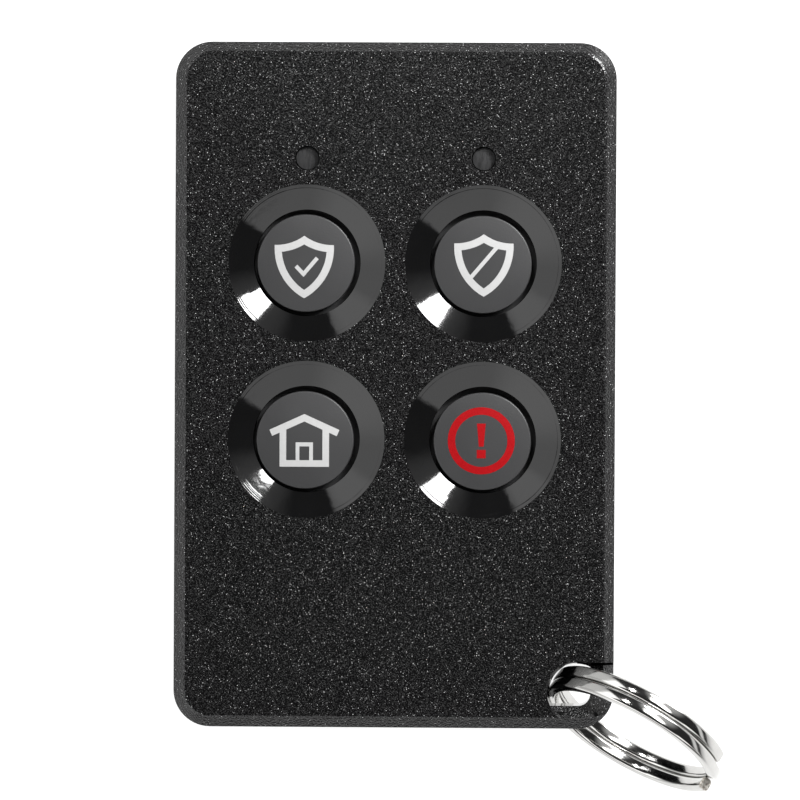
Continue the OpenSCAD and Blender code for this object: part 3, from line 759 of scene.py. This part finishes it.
ink_white, shader, place = start_material("ink_white")
film = place.node("TexNoise", Vector=place, Scale=3500.0, Detail=2.0)
feed(shader, Base_Color=film.tint((0.45, 0.45, 0.447), (0.5, 0.5, 0.497)), Roughness=0.45 + film * 0.15)
ink_red, shader, place = start_material("ink_red")
film = place.node("TexNoise", Vector=place, Scale=3500.0, Detail=2.0)
feed(shader, Base_Color=film.tint((0.3, 0.002, 0.004), (0.36, 0.004, 0.007)), Roughness=0.45 + film * 0.15,
     Specular_IOR_Level=0.12)
sign_shifts = {"arm": (arm_sign, -0.15, 0.1, ink_white), "disarm": (disarm_sign, 0.075, 0.35, ink_white),
               "home": (home_sign, -0.047, 0.147, ink_white), "panic": (panic_sign, -0.074, 0.052, ink_red)}
for key, (piece, x, y, ink) in sign_shifts.items():
    skin = bpy.data.objects.new("skin", crown.copy())
    bpy.context.collection.objects.link(skin)
    skin.location = (-x, -y, ink_thick)
    x, y = x + cap_play[key][0], y + cap_play[key][1]
    combine(piece, skin, "INTERSECT")
    bpy.ops.object.shade_smooth_by_angle(angle=math.radians(cap_sharp))
    real_size(piece, (key_places[key][0] + x, key_places[key][1] + y))
    piece.data.materials.clear()
    piece.data.materials.append(ink)
    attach(piece, key + "_key")


# Case screws: three plated steel screws sunk in the back, with a domed head and a cross recess, cut
# into the bosses of the front cover.
head_r, head_low, head_top, head_dome, screw_round = 1.7, 0.4, 1.6, 0.35, 0.04
shank_r, shank_low, shank_end = 0.8, 1.2, 9.0
drive_long, drive_wide, drive_deep = 0.75, 0.22, 1.0
screw = peg("case_screw", (0, 0), head_r, head_low, head_top, sides=48)
bevel_edges(screw, lambda a, b: max(a.z, b.z) < head_low + 0.01, head_dome, 4)
combine(screw, peg("shank", (0, 0), shank_r, shank_low, shank_end, sides=32), "UNION")
for turn in (0, 90):
    drive = block("drive", (-drive_long, -drive_wide, 0), (drive_long, drive_wide, drive_deep))
    drive.rotation_euler = (0, 0, math.radians(turn))
    settle()
    combine(screw, drive, "DIFFERENCE")
soften_edges(screw, screw_round)
screw_plate, shader, place = start_material("screw_plate")
turned = place.node("TexNoise", Vector=place, Scale=2600.0, Detail=2.0)
feed(shader, Metallic=1.0, Base_Color=turned.tint((0.3, 0.3, 0.31), (0.46, 0.46, 0.47)),
     Roughness=0.25 + turned * 0.2)
screw.data.materials.append(screw_plate)
screws = [screw]
for at in screw_places[1:]:
    screws.append(screw.copy())
    screws[-1].data = screw.data.copy()
    bpy.context.collection.objects.link(screws[-1])
for count, piece in enumerate(screws):
    piece.name = "case_screw_" + str(count + 1)
    real_size(piece, screw_places[count])
    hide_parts("case_screws")
    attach(piece, "case")


# Split ring: one length of rounded flat steel wire wound twice, with a step from turn to turn at the
# far end. Nickel plated and bright, threaded through the lug.
ring_r, wire_across, wire_along, wire_corner, turn_gap = 7.46, 0.88, 1.04, 0.26, 0.06
coil_from, jog_from, jog_to, coil_to = 26.0, 347.0, 383.0, 707.0
coil_steps, coil_merge, wire_sharp = 170, 0.0001, 40
ring_lean, ring_yaw = 70.1, -30.0
ring_at = (19.856, -28.15, 7.815)


def coil_rise(angle):
    part = min(1, max(0, (angle - jog_from) / (jog_to - jog_from)))
    return (wire_along + turn_gap) * (part * part * (3 - 2 * part) - 0.5)


bpy.ops.object.select_all(action="DESELECT")
bpy.ops.mesh.primitive_plane_add(size=1, rotation=(math.pi / 2, 0, 0))
wire = bpy.context.object
wire.name = "ring_wire"
settle()
wire.scale = (wire_across, 1, wire_along)
wire.location = (ring_r, 0, coil_rise(coil_from))
settle()
wire.rotation_euler = (0, 0, math.radians(coil_from))
settle()
select_parts(wire, "FACE", lambda face: True)
bpy.ops.mesh.bevel(offset=wire_corner, segments=4, affect="VERTICES")
bpy.ops.mesh.select_mode(type="FACE")
bpy.ops.mesh.select_all(action="SELECT")
turn_step = (coil_to - coil_from) / coil_steps
for count in range(coil_steps):
    angle = coil_from + turn_step * count
    bpy.ops.mesh.extrude_region_move(
        TRANSFORM_OT_translate={"value": (0, 0, coil_rise(angle + turn_step) - coil_rise(angle))})
    bpy.ops.transform.rotate(value=-math.radians(turn_step), orient_axis="Z", center_override=(0, 0, 0))
bpy.ops.mesh.select_all(action="SELECT")
bpy.ops.mesh.remove_doubles(threshold=coil_merge)
bpy.ops.mesh.normals_make_consistent(inside=False)
close_edit()
wire.rotation_euler = (math.radians(ring_lean), 0, math.radians(ring_yaw))
wire.location = ring_at
settle()
bpy.ops.object.shade_smooth_by_angle(angle=math.radians(wire_sharp))
real_size(wire)
bright_nickel, shader, place = start_material("bright_nickel")
haze = place.node("TexNoise", Vector=place, Scale=900.0, Detail=3.0)
feed(shader, Metallic=1.0, Base_Color=haze.tint((0.55, 0.545, 0.53), (0.64, 0.635, 0.62)),
     Roughness=0.05 + haze * 0.1)
sheared_end, shader, place = start_material("sheared_end")
torn = place.node("TexNoise", Vector=place, Scale=4200.0, Detail=2.0)
feed(shader, Metallic=1.0, Base_Color=torn.step(0.3, 0.7).tint((0.3, 0.27, 0.23), (0.85, 0.82, 0.77)),
     Roughness=0.45 + torn * 0.2, Normal=place.node("Bump", Strength=1.0, Distance=0.0001, Height=torn))
wire.data.materials.append(bright_nickel)
wire.data.materials.append(sheared_end)
for face in wire.data.polygons:
    face.material_index = int(len(face.vertices) > 4)
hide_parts("split_ring")
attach(wire, "ring")
